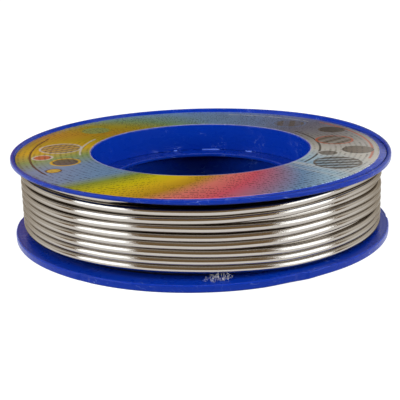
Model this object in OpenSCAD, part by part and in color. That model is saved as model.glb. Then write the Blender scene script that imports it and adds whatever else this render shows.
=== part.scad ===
// Solder wire spool: two moulded spool halves, plugged together at the hub,
// with a printed label on the upper flange and a full winding of solder wire.
// The spool stands on its lower rim. Z is its axis, Z = 0 is the foot of that rim,
// and -Y is the side that faces the user. All sizes are millimetres.

/* [Flanges] */
// Outside diameter of both flanges
flange_d = 80; // [70:1:110]
// Height of the whole spool, from the foot of the lower rim to the top of the upper one
spool_h = 17.5; // [15:0.1:30]
// Thickness of both flange plates
plate_t = 0.85; // [0.8:0.05:1.5]
// Radial width of the raised rims
rim_w = 0.85; // [0.75:0.05:2]
// Height of the raised rims above the plates' outer faces
rim_step = 0.55; // [0.4:0.05:1.2]
// Rounding of the rims' edges
rim_round = 0.25; // [0.1:0.05:0.35]

/* [Hub] */
// Diameter of the bore in both halves
bore_d = 46.6; // [36:0.1:50]
// Rounding of the bore's two mouths
mouth_round = 0.15; // [0.1:0.05:0.4]
// Wall of the upper half's plug sleeve
plug_wall = 0.9; // [0.7:0.1:1.5]
// Wall of the lower half's socket sleeve, which surrounds the plug
socket_wall = 0.9; // [0.7:0.1:1.5]
// Clearance between the plug and its socket, at the side and above the socket's end
plug_clear = 0.05; // [0.03:0.01:0.1]
// Depth of the stop web's upper face below the top of the upper rim
web_depth = 6.6; // [5:0.1:9]
// Thickness of the stop web
web_t = 0.8; // [0.6:0.1:1.5]
// Diameter of the hole in the stop web
web_hole_d = 38.8; // [20:0.1:44]
// Rounding of the stop web's lip
web_round = 0.2; // [0.1:0.05:0.25]
// How far the snap bead stands out of the plug
snap_h = 0.25; // [0.1:0.05:0.4]
// Height of the snap bead's middle above the plug's foot
snap_up = 2; // [1.2:0.1:2.5]

/* [Edge notches] */
// Number of shallow notches round the lower flange's edge, where a wire end is caught
notch_count = 6; // [3:1:8]
// Width of a notch along the edge
notch_w = 2.7; // [1.5:0.1:4]
// Depth of a notch into the edge
notch_deep = 0.25; // [0.1:0.05:0.6]
// Angle of the first notch, from +X towards +Y
notch_at = -63.5; // [-180:0.5:180]

/* [Label] */
// Thickness of the printed label
label_t = 0.15; // [0.1:0.05:0.35]
// Clearance from the label's outer edge to the raised rim
label_clear = 0.1; // [0.05:0.05:0.5]
// Margin from the label's inner edge to the bore
label_margin = 0.2; // [0.15:0.05:2]

/* [Winding] */
// Diameter of the solder wire
wire_d = 1.5; // [1:0.1:2]
// Space between neighbouring turns of the top layer
lay_gap = 0.03; // [0:0.01:0.3]
// How far the winding stays inside the flanges' edge
winding_inset = 1.8; // [1:0.1:5]
// Space between the upper flange and the start of the top layer
head_gap = 0.05; // [0:0.05:0.5]
// Space between the end of the top layer and the lower flange
foot_gap = 0.75; // [0:0.05:1.5]
// Where the top layer starts under the upper flange, from +X towards +Y
winding_start = 42; // [-180:1:180]

/* [Hidden] */
$fn = 180;
// a cut reaches this far past the face it opens
over = 0.5;

plastic_blue = "#1f3fa8";
solder_grey = "#b8b4ae";
solder_shade = "#8f8a82";
label_tint = "#b59a2a";

flange_r = flange_d / 2;
rim_inner_r = flange_r - rim_w;
rim_middle_r = flange_r - rim_w / 2;
rim_t = plate_t + rim_step;
bore_r = bore_d / 2;
plug_r = bore_r + plug_wall;
socket_r = plug_r + plug_clear;
hub_r = socket_r + socket_wall;
web_hole_r = web_hole_d / 2;
web_top = spool_h - web_depth;
web_bottom = web_top - web_t;
upper_inner_z = spool_h - rim_t;
upper_face_z = spool_h - rim_step;
snap_z = web_top + snap_up;

// The top layer is drawn as a six-sided tube, slimmer than the wire so that its turns stay
// apart. Its outer edge lies where the wire's does, and it rests on the layers below.
tube_sides = 6;
turn_rings = 24;
form_gap = 0.45;
pitch = wire_d + lay_gap;
tube_r = (pitch - form_gap) / (2 * cos(180 / tube_sides));
tube_path_r = flange_r - winding_inset - tube_r;
inner_layers_r = (tube_path_r - tube_r) * cos(180 / turn_rings);
first_turn_z = upper_inner_z - head_gap - wire_d / 2;
last_turn_z = rim_t + foot_gap + wire_d / 2;
tube_steps = floor(turn_rings * (first_turn_z - last_turn_z) / pitch);
tube_end_run = 2 * tube_r;

// centre of the tube at each ring: a left-handed helix that goes down from the upper flange
function helix_point(i) =
    let (turn_angle = winding_start + 360 * i / turn_rings)
    [
        tube_path_r * cos(turn_angle),
        tube_path_r * sin(turn_angle),
        first_turn_z - pitch * i / turn_rings
    ];
// direction from one point to another, with length 1
function unit_step(from, to) = (to - from) / norm(to - from);
// helix centres, with one straight length past each end
tube_path = concat(
    [helix_point(0) + tube_end_run * unit_step(helix_point(1), helix_point(0))],
    [for (i = [0 : tube_steps]) helix_point(i)],
    [helix_point(tube_steps)
        + tube_end_run * unit_step(helix_point(tube_steps - 1), helix_point(tube_steps))]
);
tube_rings = len(tube_path);
// each ring lies in the upright plane through its turn's angle; a straight end keeps the
// angle of the ring it runs from
function ring_angle(i) =
    let (step = min(max(i - 1, 0), tube_steps))
    winding_start + 360 * step / turn_rings;
function ring_points(i) = [
    for (side = [0 : tube_sides - 1])
        let (outward = tube_r * cos(360 * side / tube_sides))
        tube_path[i] + [
            outward * cos(ring_angle(i)),
            outward * sin(ring_angle(i)),
            tube_r * sin(360 * side / tube_sides)
        ]
];
ring_list = [for (i = [0 : tube_rings - 1]) ring_points(i)];

// least distance between the points of any two rings that lie over half a turn apart
least_gap = min([
    for (i = [0 : tube_rings - 1])
        for (j = [i + turn_rings / 2 : 1 : min(i + 3 * turn_rings / 2, tube_rings - 1)])
            if (norm(tube_path[i] - tube_path[j]) < 2 * pitch)
                min([for (a = ring_list[i]) for (b = ring_list[j]) norm(a - b)])
]);
echo(turns = tube_steps / turn_rings, least_gap_mm = least_gap);

// section of a ring, with sharp corners
module ring_section(inner_r, outer_r, low_z, high_z) {
    translate([inner_r, low_z])
        square([outer_r - inner_r, high_z - low_z]);
}

// section of a ring, with its four corners rounded
module soft_section(inner_r, outer_r, low_z, high_z, corner_r) {
    ring_section(inner_r + corner_r, outer_r - corner_r, low_z, high_z);
    ring_section(inner_r, outer_r, low_z + corner_r, high_z - corner_r);
    for (x = [inner_r + corner_r, outer_r - corner_r])
        for (z = [low_z + corner_r, high_z - corner_r])
            translate([x, z])
                circle(r = corner_r);
}

// what a rounded bore mouth takes off its corner; the bore is at the left, the face is below
module mouth_cut(corner_r) {
    difference() {
        translate([-over, -over])
            square(corner_r + over);
        translate([corner_r, corner_r])
            circle(r = corner_r);
    }
}

// section of the snap bead: a ridge with sloping sides, standing out from x = 0
module snap_section(ridge_h) {
    root_x = -plug_wall / 2;
    foot_z = 2 * ridge_h;
    crest_z = ridge_h / 2;
    polygon([
        [root_x, -foot_z],
        [0, -foot_z],
        [ridge_h, -crest_z],
        [ridge_h, crest_z],
        [0, foot_z],
        [root_x, foot_z]
    ]);
}

// section of one flange, lying with its rim's outer face down at z = 0
module flange_section() {
    difference() {
        union() {
            soft_section(rim_inner_r, flange_r, 0, rim_t, rim_round);
            ring_section(bore_r, rim_middle_r, rim_step, rim_t);
        }
        translate([bore_r, rim_step])
            mouth_cut(mouth_round);
    }
}

// upper flange with the plug sleeve that stands on the stop web
module spool_upper_half() {
    color(plastic_blue)
        rotate_extrude()
            union() {
                translate([0, spool_h])
                    mirror([0, 1])
                        flange_section();
                ring_section(bore_r, plug_r, web_top, upper_inner_z + plate_t / 2);
                translate([plug_r, snap_z])
                    snap_section(snap_h);
            }
}

// lower flange with the socket sleeve and the stop web inside it
module spool_lower_half() {
    color(plastic_blue)
        difference() {
            rotate_extrude()
                difference() {
                    union() {
                        flange_section();
                        ring_section(bore_r, hub_r, rim_t - plate_t / 2, web_top);
                        ring_section(socket_r, hub_r, web_bottom, upper_inner_z - plug_clear);
                        stop_web_section();
                    }
                    translate([plug_r, snap_z])
                        snap_section(snap_h + plug_clear);
                }
            for (i = [0 : notch_count - 1])
                rotate(notch_at + 360 * i / notch_count)
                    translate([flange_r - notch_deep, -notch_w / 2, -over])
                        cube([notch_deep + over, notch_w, rim_t + 2 * over]);
        }
}

// section of the stop web, from its rounded lip into the hub's wall
module stop_web_section() {
    ring_section(web_hole_r + web_round, bore_r + plug_wall / 2, web_bottom, web_top);
    soft_section(web_hole_r, bore_r, web_bottom, web_top, web_round);
}

// printed label in the upper flange's recess
module top_label() {
    color(label_tint)
        rotate_extrude()
            ring_section(bore_r + label_margin, rim_inner_r - label_clear,
                upper_face_z, upper_face_z + label_t);
}

// all layers of wire below the top one, as one plain ring that fills the drum
module solder_inner_layers() {
    color(solder_shade)
        rotate_extrude()
            ring_section(hub_r, inner_layers_r, rim_t, upper_inner_z);
}

// top layer of wire: one unbroken tube
module solder_outer_layer() {
    last = tube_rings - 1;
    side_faces = [
        for (i = [0 : last - 1])
            for (side = [0 : tube_sides - 1])
                let (
                    next = (side + 1) % tube_sides,
                    a = i * tube_sides + side,
                    b = i * tube_sides + next,
                    c = (i + 1) * tube_sides + next,
                    d = (i + 1) * tube_sides + side
                )
                each [[a, b, c], [a, c, d]]
    ];
    end_faces = [
        for (side = [1 : tube_sides - 2])
            each [
                [0, side + 1, side],
                [last * tube_sides, last * tube_sides + side, last * tube_sides + side + 1]
            ]
    ];
    color(solder_grey)
        polyhedron(points = [for (ring = ring_list) each ring],
            faces = concat(side_faces, end_faces));
}

spool_upper_half();
spool_lower_half();
top_label();
solder_inner_layers();
solder_outer_layer();
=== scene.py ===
"""Solder wire spool, dressed for the studio.

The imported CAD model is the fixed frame. This script gives the two moulded halves their
plastic, prints the label, winds the two outer layers of wire turn by turn, and lights the
spool on a pale floor. Angles named `front_deg` are measured round the spool's axis from
the front, -Y, and grow towards +X. Lengths are in millimetres, turned to metres by MM.
"""

import logging
import math
import random
from collections.abc import Callable, Iterable, Sequence
from dataclasses import dataclass, field
from enum import Enum

import bmesh
import bpy
from mathutils import Matrix, Vector, noise


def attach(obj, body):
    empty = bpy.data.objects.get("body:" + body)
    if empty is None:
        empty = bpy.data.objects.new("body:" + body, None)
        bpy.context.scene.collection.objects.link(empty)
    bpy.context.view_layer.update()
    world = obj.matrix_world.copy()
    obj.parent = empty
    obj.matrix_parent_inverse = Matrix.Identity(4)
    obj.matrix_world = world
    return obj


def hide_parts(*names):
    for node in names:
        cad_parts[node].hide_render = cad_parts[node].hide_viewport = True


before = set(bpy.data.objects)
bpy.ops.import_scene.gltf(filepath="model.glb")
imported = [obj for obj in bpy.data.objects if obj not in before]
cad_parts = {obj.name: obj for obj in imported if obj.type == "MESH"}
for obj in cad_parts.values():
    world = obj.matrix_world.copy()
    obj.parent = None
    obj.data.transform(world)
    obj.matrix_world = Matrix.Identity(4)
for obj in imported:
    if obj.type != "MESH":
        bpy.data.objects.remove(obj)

Tree = bpy.types.NodeTree
Source = bpy.types.Node | bpy.types.NodeSocket

MM = 0.001
BODY = "root"
WEDGES = 24
NOISE_MIDDLE = 0.5
PATCH_PER_MM = 0.16
MERGE_M = 1e-7
WIRE_SHARP_DEG = 50.0

log = logging.getLogger("solder_spool")


class Slot(Enum):
    """Material slots of the record."""

    PLASTIC = "spool_plastic"
    LABEL = "label_film"
    SOLDER = "solder_wire"


class Node(Enum):
    """Nodes of the CAD frame."""

    UPPER_HALF = "spool_upper_half"
    LOWER_HALF = "spool_lower_half"
    LABEL = "top_label"
    INNER_LAYERS = "solder_inner_layers"
    OUTER_LAYER = "solder_outer_layer"


def linear(hex_code: str) -> tuple[float, float, float, float]:
    """Turn an sRGB hex value into the linear colour that a shader reads.

    Args:
        hex_code: six hex digits after a hash sign.

    Returns:
        Red, green and blue from 0 to 1, and an alpha of 1.
    """
    shares = [int(hex_code[i : i + 2], 16) / 255 for i in (1, 3, 5)]
    red, green, blue = (s / 12.92 if s <= 0.04045 else ((s + 0.055) / 1.055) ** 2.4 for s in shares)
    return red, green, blue, 1.0


def add_node(
    tree: Tree, kind: str, inputs: dict[str | int, object] | None = None, **settings: object
) -> bpy.types.Node:
    """Add one node with its settings and links.

    Args:
        tree: the tree that the node joins.
        kind: the node's type name, without "ShaderNode" before it.
        inputs: what each input gets, by its name or index: a value, or the source that is
            linked to it.
        settings: node attributes.

    Returns:
        The new node.
    """
    node = tree.nodes.new("ShaderNode" + kind)
    for name, value in settings.items():
        setattr(node, name, value)
    for name, value in (inputs or {}).items():
        if isinstance(value, bpy.types.Node):
            value = next(socket for socket in value.outputs if socket.enabled)
        if isinstance(value, bpy.types.NodeSocket):
            tree.links.new(value, node.inputs[name])
        else:
            node.inputs[name].default_value = value
    return node


@dataclass(frozen=True)
class Finish:
    """One named surface. Each kind of surface draws its own nodes.

    Attributes:
        name: the material's name.
    """

    name: str = "finish"

    def surface(self, tree: Tree) -> Source:
        """Draw the nodes.

        Args:
            tree: the material's empty tree.

        Returns:
            The shader.
        """
        raise NotImplementedError

    def build(self) -> bpy.types.Material:
        """Build the node material."""
        material = bpy.data.materials.new(self.name)
        material.use_nodes = True
        tree = material.node_tree
        tree.nodes.clear()
        add_node(tree, "OutputMaterial", {"Surface": self.surface(tree)})
        return material


def scaled_place(tree: Tree, scale: Sequence[float], turn_deg: Sequence[float] = (0, 0, 0)) -> Source:
    """Give the place on the part as pattern coordinates.

    Args:
        tree: the material's tree.
        scale: pattern units per millimetre along X, Y and Z.
        turn_deg: turn of the pattern about X, Y and Z.

    Returns:
        The vector socket to feed a texture with.
    """
    place = add_node(tree, "TexCoord")
    return add_node(
        tree, "Mapping",
        {"Rotation": [math.radians(a) for a in turn_deg], "Scale": [MM / s for s in scale],
         "Vector": place.outputs["Object"]},
        vector_type="TEXTURE",
    )


def distance_from(tree: Tree, value: Source, middle: float) -> Source:
    """Give how far a value is from a middle one, without its sign."""
    off_middle = add_node(tree, "Math", {0: value, 1: middle}, operation="SUBTRACT")
    return add_node(tree, "Math", {0: off_middle}, operation="ABSOLUTE")


def hairlines(
    tree: Tree, scale: Sequence[float], turn_deg: Sequence[float], width: float,
    spread: tuple[float, float],
) -> Source:
    """Draw sparse, long, thin lines, such as scratches.

    The lines are where a stretched noise passes its middle value, kept only in patches.

    Args:
        tree: the material's tree.
        scale: noise cells per millimetre along X, Y and Z, smallest along the lines.
        turn_deg: turn of the lines about X, Y and Z.
        width: share of the noise's range that counts as line.
        spread: patch noise at which the lines start to show and show in full.

    Returns:
        A mask, 1 on a line.
    """
    place = scaled_place(tree, scale, turn_deg)
    grain = add_node(
        tree, "TexNoise", {"Scale": 1.0, "Detail": 1.0, "Roughness": 0.4, "Vector": place}
    )
    distance = distance_from(tree, grain, NOISE_MIDDLE)
    line = add_node(
        tree, "MapRange",
        {"Value": distance, "From Min": 0.0, "From Max": width, "To Min": 1.0, "To Max": 0.0},
    )
    wide = scaled_place(tree, (PATCH_PER_MM,) * 3, turn_deg)
    patches = add_node(tree, "TexNoise", {"Scale": 1.0, "Detail": 2.0, "Vector": wide})
    shown = add_node(
        tree, "MapRange", {"Value": patches, "From Min": spread[0], "From Max": spread[1]}
    )
    return add_node(tree, "Math", {0: line, 1: shown}, operation="MULTIPLY")


@dataclass(frozen=True)
class MouldedPolystyrene(Finish):
    """High-impact polystyrene, injection moulded in a polished tool and dyed through.

    It gives a deep, even blue with a satin gloss, faint flow marks of the melt, and light
    hairline scratches where spools have rubbed on each other in a box.
    """

    name: str = "moulded_blue_polystyrene"
    body_hex: str = "#022B99"
    flow_hex: str = "#0533A0"
    scratch_hex: str = "#7F97DC"
    roughness: float = 0.27
    ior: float = 1.5
    gloss: float = 0.17
    peel_mm: float = 1.6
    scratch_strength: float = 0.75
    tool_mark_mm: float = 0.55
    tool_mark_depth: float = 1.6

    def _tool_marks(self, tree: Tree) -> Source:
        """Draw the faint rings that the turned mould has left.

        Args:
            tree: the material's tree.

        Returns:
            A height socket.
        """
        # real rings are closer than 0.1 mm: they are drawn wider apart, to show
        place = add_node(tree, "TexCoord")
        flat = add_node(
            tree, "VectorMath", {0: place.outputs["Object"], 1: (1.0, 1.0, 0.0)}, operation="MULTIPLY"
        )
        reach = add_node(tree, "VectorMath", {0: flat}, operation="LENGTH")
        return add_node(
            tree, "TexNoise",
            {"Scale": 1 / (self.tool_mark_mm * MM), "Detail": 1.0, "W": reach},
            noise_dimensions="1D",
        )

    def surface(self, tree: Tree) -> Source:
        """Draw the nodes and give the shader."""
        flow = add_node(
            tree, "TexNoise",
            {"Scale": 1.0, "Detail": 3.0, "Distortion": 0.6,
             "Vector": scaled_place(tree, (0.07, 0.07, 0.2))},
        )
        body = add_node(
            tree, "Mix", {0: flow, 6: linear(self.body_hex), 7: linear(self.flow_hex)}, data_type="RGBA"
        )
        # scratches 0.1 mm wide: real ones are a third of that, too fine to show
        along = hairlines(tree, (0.06, 1.3, 1.3), (8, 12, 24), 0.012, (0.56, 0.66))
        across = hairlines(tree, (1.1, 0.09, 1.1), (-14, 9, -38), 0.012, (0.6, 0.68))
        scratches = add_node(tree, "Math", {0: along, 1: across}, operation="MAXIMUM")
        scratch_share = add_node(
            tree, "Math", {0: scratches, 1: self.scratch_strength}, operation="MULTIPLY"
        )
        colour = add_node(
            tree, "Mix", {0: scratch_share, 6: body, 7: linear(self.scratch_hex)}, data_type="RGBA"
        )
        haze = add_node(
            tree, "TexNoise",
            {"Scale": 1.0, "Detail": 4.0, "Vector": scaled_place(tree, (0.25, 0.25, 0.6))},
        )
        roughness = add_node(
            tree, "MapRange",
            {"To Min": self.roughness - 0.07, "To Max": self.roughness + 0.09, "Value": haze},
        )
        peel = add_node(
            tree, "TexNoise",
            {"Scale": 1.0, "Detail": 2.0, "Vector": scaled_place(tree, (1 / self.peel_mm,) * 3)},
        )
        turned = self._tool_marks(tree)
        rings = add_node(
            tree, "Math", {0: turned, 1: self.tool_mark_depth, 2: peel}, operation="MULTIPLY_ADD"
        )
        height = add_node(tree, "Math", {0: rings, 1: scratch_share}, operation="SUBTRACT")
        bump = add_node(tree, "Bump", {"Strength": 0.12, "Distance": 0.12 * MM, "Height": height})
        return add_node(
            tree, "BsdfPrincipled",
            {"IOR": self.ior, "Specular IOR Level": self.gloss, "Base Color": colour,
             "Roughness": roughness, "Normal": bump},
        )


@dataclass(frozen=True)
class DrawnSolder(Finish):
    """Tin-lead solder wire, drawn bright through a die.

    It gives a mirror-like grey with fine lines along the wire, broken by cloudy oxide and
    a few small nicks. The tube's own map has the way round the wire in U and the way along
    it in V.
    """

    name: str = "drawn_tin_lead_solder"
    bright_hex: str = "#BCB7B1"
    dull_hex: str = "#A39C93"
    film_hex: str = "#A8A095"
    roughness: float = 0.08
    wire_length_mm: float = 1000.0
    wire_round_mm: float = 4.7
    die_line_mm: float = 0.2
    nick_mm: float = 5.0

    def _on_wire(self, tree: Tree, across_mm: float, along_mm: float) -> Source:
        """Give pattern coordinates on the wire.

        Args:
            tree: the material's tree.
            across_mm: size of a pattern cell round the wire.
            along_mm: size of a pattern cell along the wire.

        Returns:
            The vector socket to feed a texture with.
        """
        tube_map = add_node(tree, "UVMap", uv_map="UVMap")
        return add_node(
            tree, "Mapping",
            {"Scale": (self.wire_round_mm / across_mm, self.wire_length_mm / along_mm, 1.0),
             "Vector": tube_map},
        )

    def surface(self, tree: Tree) -> Source:
        """Draw the nodes and give the shader."""
        # die lines are drawn 0.2 mm apart: real ones are finer than a render can show
        lines = add_node(
            tree, "TexNoise",
            {"Scale": 1.0, "Detail": 3.0, "Roughness": 0.6,
             "Vector": self._on_wire(tree, self.die_line_mm, 22.0)},
        )
        clouds = add_node(
            tree, "TexNoise",
            {"Scale": 1.0, "Detail": 4.0, "Roughness": 0.6, "Vector": self._on_wire(tree, 2.5, 11.0)},
        )
        oxide = add_node(tree, "MapRange", {"From Min": 0.42, "From Max": 0.72, "Value": clouds})
        streaks = add_node(tree, "MapRange", {"From Min": 0.52, "From Max": 0.8, "Value": lines})
        dulled = add_node(tree, "Math", {0: oxide, 1: streaks}, operation="MAXIMUM")
        colour = add_node(
            tree, "Mix",
            {0: dulled, 6: linear(self.bright_hex), 7: linear(self.dull_hex)},
            data_type="RGBA",
        )
        roughness = add_node(
            tree, "MapRange",
            {"To Min": self.roughness, "To Max": self.roughness + 0.1, "Value": dulled},
        )
        nicks = add_node(
            tree, "TexVoronoi",
            {"Scale": 1.0, "Vector": self._on_wire(tree, self.nick_mm, self.nick_mm * 3)},
            feature="F1",
        )
        dent = add_node(
            tree, "MapRange",
            {"From Min": 0.0, "From Max": 0.09, "To Min": -3.0, "To Max": 0.0, "Value": nicks},
        )
        height = add_node(tree, "Math", {0: lines, 1: dent}, operation="ADD")
        bump = add_node(tree, "Bump", {"Strength": 0.2, "Distance": 0.02 * MM, "Height": height})
        return add_node(
            tree, "BsdfPrincipled",
            {"Metallic": 1.0, "Specular Tint": linear(self.film_hex), "Base Color": colour,
             "Roughness": roughness, "Normal": bump},
        )


@dataclass(frozen=True)
class ShadedDeepSolder(Finish):
    """Tin-lead solder of the deeper layers, darkened as painted shade.

    It gives the deeper layers a dim, cloudy grey: painted shade, so the slits between turns look deep.
    """

    name: str = "painted_shade_deep_solder"
    dull_hex: str = "#77726B"
    dark_hex: str = "#4E4A44"
    roughness: float = 0.42

    def surface(self, tree: Tree) -> Source:
        """Draw the nodes and give the shader."""
        clouds = add_node(
            tree, "TexNoise",
            {"Scale": 1.0, "Detail": 4.0, "Vector": scaled_place(tree, (0.4, 0.4, 1.2))},
        )
        # dim grey of the deep turns: painted shade between the turns
        colour = add_node(
            tree, "Mix",
            {0: clouds, 6: linear(self.dull_hex), 7: linear(self.dark_hex)},
            data_type="RGBA",
        )
        roughness = add_node(
            tree, "MapRange",
            {"To Min": self.roughness - 0.08, "To Max": self.roughness + 0.12, "Value": clouds},
        )
        return add_node(
            tree, "BsdfPrincipled", {"Metallic": 1.0, "Base Color": colour, "Roughness": roughness}
        )


@dataclass(frozen=True)
class SolderShavings(Finish):
    """Hair-thin curls of solder scraped off by the flange's edge.

    They give a pale, broken sparkle.
    """

    name: str = "solder_shavings"
    pale_hex: str = "#F2F0EC"
    shade_hex: str = "#A8A49C"

    def surface(self, tree: Tree) -> Source:
        """Draw the nodes and give the shader."""
        flecks = add_node(
            tree, "TexNoise",
            {"Scale": 1.0, "Detail": 2.0, "Vector": scaled_place(tree, (2.4, 2.4, 2.4))},
        )
        colour = add_node(
            tree, "Mix",
            {0: flecks, 6: linear(self.pale_hex), 7: linear(self.shade_hex)},
            data_type="RGBA",
        )
        roughness = add_node(tree, "MapRange", {"To Min": 0.25, "To Max": 0.5, "Value": flecks})
        return add_node(
            tree, "BsdfPrincipled", {"Metallic": 0.35, "Base Color": colour, "Roughness": roughness}
        )


class Ink(Enum):
    """Printing inks of the label, by their tone in daylight."""

    TEAL = "#7896B1"
    SAGE = "#7F9C69"
    OLIVE = "#AE9A22"
    AMBER = "#B89A14"
    MOSS = "#83A05C"
    STEEL = "#7391B2"
    LIME = "#8E9732"
    GOLD = "#C08E23"
    CORAL = "#E07A6A"
    RED = "#D65865"
    MAUVE = "#9A7890"
    SKY = "#A9C4D2"
    CREAM = "#CCC3B6"
    TAUPE = "#948D86"
    PLUM = "#787480"
    SLATE = "#7687A8"
    UMBER = "#4D4234"
    BROWN = "#6F6050"
    GREY = "#5C626B"
    CHALK = "#D1CCC4"
    RUST = "#C45F3E"
    YELLOW = "#DDB220"
    LEMON = "#D6C015"
    BLACK = "#1E1910"


@dataclass(frozen=True)
class Disc:
    """One plain printed disc, which may have an outline and stripes.

    Attributes:
        front_deg: where it lies round the label.
        reach_mm: its centre's distance from the axis.
        size_mm: its radius.
        ink: the colour inside.
        cover: how far the fill covers the wash, from 0 to 1.
        outline: the outline's colour.
        outline_mm: the outline's width.
        stripe_mm: width of the stripes inside, 0 for a plain fill.
    """

    front_deg: float
    reach_mm: float
    size_mm: float
    ink: Ink
    cover: float
    outline: Ink = Ink.CHALK
    outline_mm: float = 0.3
    stripe_mm: float = 0.0


@dataclass(frozen=True)
class Arc:
    """One printed line that runs round the label.

    Attributes:
        front_deg: where its middle lies.
        half_span_deg: how far it runs to both sides.
        reach_mm: its distance from the axis.
        width_mm: its width.
        ink: its colour.
    """

    front_deg: float
    half_span_deg: float
    reach_mm: float
    width_mm: float
    ink: Ink


@dataclass(frozen=True)
class Sheet:
    """The label's face, as what every print on it reads.

    Attributes:
        tree: the material's tree.
        place_mm: place on the label in millimetres.
        turns: angle from the front, in turns from -0.5 to 0.5.
        reach: distance from the axis in millimetres.
    """

    tree: Tree
    place_mm: Source
    turns: Source
    reach: Source


@dataclass(frozen=True)
class PrintedFilm(Finish):
    """Paper label with a coloured wash printed on it, under a thin gloss varnish.

    It gives soft changes of colour round the ring, rows of fine ink marks, soft pale rays that
    paint a sheen, and a few plain discs joined by lines. The paper's bare edge shows at the
    bore, in a pale lilac that also paints the highlight of the bore's rounded mouth.
    """

    name: str = "printed_label_film"
    paper_edge_highlight_hex: str = "#8C8BB2"
    roughness: float = 0.16
    ior: float = 1.48
    gloss: float = 0.2
    fan_from_deg: float = -60.0
    fan_deg_per_mm: float = 1.7
    middle_mm: float = 31.0
    row_pitch_mm: float = 1.1
    rows_per_turn: int = 2
    mark_mm: float = 0.36
    paper_edge_mm: float = 23.6
    sheen_middle_deg: float = 50.0
    sheen_reach_deg: float = 16.0
    sheen_streaks_per_turn: float = 75.0
    row_shift: float = 7.3
    mark_cover: float = 0.55
    line_cover: float = 0.85
    line_soft_mm: float = 0.12
    disc_soft_mm: float = 0.08
    paper_soft_mm: float = 0.1
    stripe_turn_deg: float = 35.0
    wash: tuple[tuple[float, Ink], ...] = (
        (-180, Ink.TEAL), (-155, Ink.SAGE), (-138, Ink.OLIVE), (-120, Ink.GOLD), (-104, Ink.AMBER),
        (-90, Ink.YELLOW), (-76, Ink.MOSS), (-62, Ink.STEEL), (-43, Ink.STEEL), (-35, Ink.LIME),
        (-26, Ink.LEMON), (-17, Ink.YELLOW), (-8, Ink.GOLD), (1, Ink.CORAL), (14, Ink.RED),
        (28, Ink.MAUVE), (38, Ink.STEEL), (52, Ink.SKY), (74, Ink.CREAM), (102, Ink.TAUPE),
        (128, Ink.PLUM), (152, Ink.SLATE), (180, Ink.TEAL),
    )
    discs: tuple[Disc, ...] = (
        Disc(-128, 31.0, 3.4, Ink.MOSS, 0.7, Ink.OLIVE),
        Disc(-93, 30.2, 4.4, Ink.GREY, 0.75, Ink.CHALK, 0.35, 0.9),
        Disc(-79, 33.4, 2.0, Ink.RUST, 0.9, Ink.CHALK, 0.4),
        Disc(-69, 29.4, 2.9, Ink.UMBER, 0.8, Ink.YELLOW, 0.45),
        Disc(-59, 33.6, 1.5, Ink.YELLOW, 0.9, Ink.UMBER, 0.25),
        Disc(59, 31.4, 4.6, Ink.UMBER, 0.9, Ink.BROWN, 0.35, 0.95),
        Disc(73, 27.4, 2.1, Ink.BROWN, 0.8),
        Disc(80, 33.2, 3.1, Ink.BROWN, 0.95, Ink.UMBER, 0.3),
        Disc(97, 29.4, 3.9, Ink.BROWN, 0.95, Ink.RUST, 0.4, 1.3),
        Disc(115, 33.2, 2.9, Ink.UMBER, 0.8, Ink.BROWN, 0.35),
        Disc(136, 30.4, 3.8, Ink.BROWN, 0.8, Ink.SLATE, 0.3, 1.4),
    )
    arcs: tuple[Arc, ...] = (
        Arc(-82, 26, 36.0, 0.35, Ink.BLACK),
        Arc(-96, 17, 25.6, 0.3, Ink.CHALK),
        Arc(98, 30, 36.2, 0.4, Ink.RUST),
        Arc(88, 34, 25.4, 0.35, Ink.UMBER),
        Arc(150, 18, 35.0, 0.3, Ink.CHALK),
    )

    def _wash_colour(self, sheet: Sheet) -> Source:
        """Run the wash round the ring, fanned out from one angle towards the outer edge.

        Args:
            sheet: the label's face.

        Returns:
            The colour.
        """
        tree = sheet.tree
        off_middle = add_node(tree, "Math", {0: sheet.reach, 1: self.middle_mm}, operation="SUBTRACT")
        off_fan = add_node(
            tree, "Math",
            {0: sheet.turns, 1: 2 * math.pi, 2: -math.radians(self.fan_from_deg)},
            operation="MULTIPLY_ADD",
        )
        swing = add_node(tree, "Math", {0: off_fan}, operation="SINE")
        fan = add_node(tree, "Math", {0: swing, 1: self.fan_deg_per_mm / 360}, operation="MULTIPLY")
        slanted = add_node(
            tree, "Math", {0: off_middle, 1: fan, 2: sheet.turns}, operation="MULTIPLY_ADD"
        )
        # the fanned angle wraps at the back, where both ends of the wash are alike
        share = add_node(tree, "Math", {0: slanted, 1: 0.5}, operation="ADD")
        wrapped = add_node(tree, "Math", {0: share}, operation="FRACT")
        ramp = add_node(tree, "ValToRGB", {"Fac": wrapped})
        stops = ramp.color_ramp.elements
        while len(stops) > 1:
            stops.remove(stops[-1])
        stops[0].position = 0.0
        stops[0].color = linear(self.wash[0][1].value)
        for front_deg, ink in self.wash[1:]:
            stops.new(front_deg / 360 + 0.5).color = linear(ink.value)
        return ramp

    def _soft_line(self, tree: Tree, away: Source, width_mm: float) -> Source:
        """Give the mask of a line.

        Args:
            tree: the material's tree.
            away: distance from the line's middle in millimetres.
            width_mm: the line's width.

        Returns:
            A mask, near 1 on the line.
        """
        half = width_mm / 2
        return add_node(
            tree, "MapRange",
            {"Value": away, "From Min": half, "From Max": half + self.line_soft_mm,
             "To Min": self.line_cover, "To Max": 0.0},
        )

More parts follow.
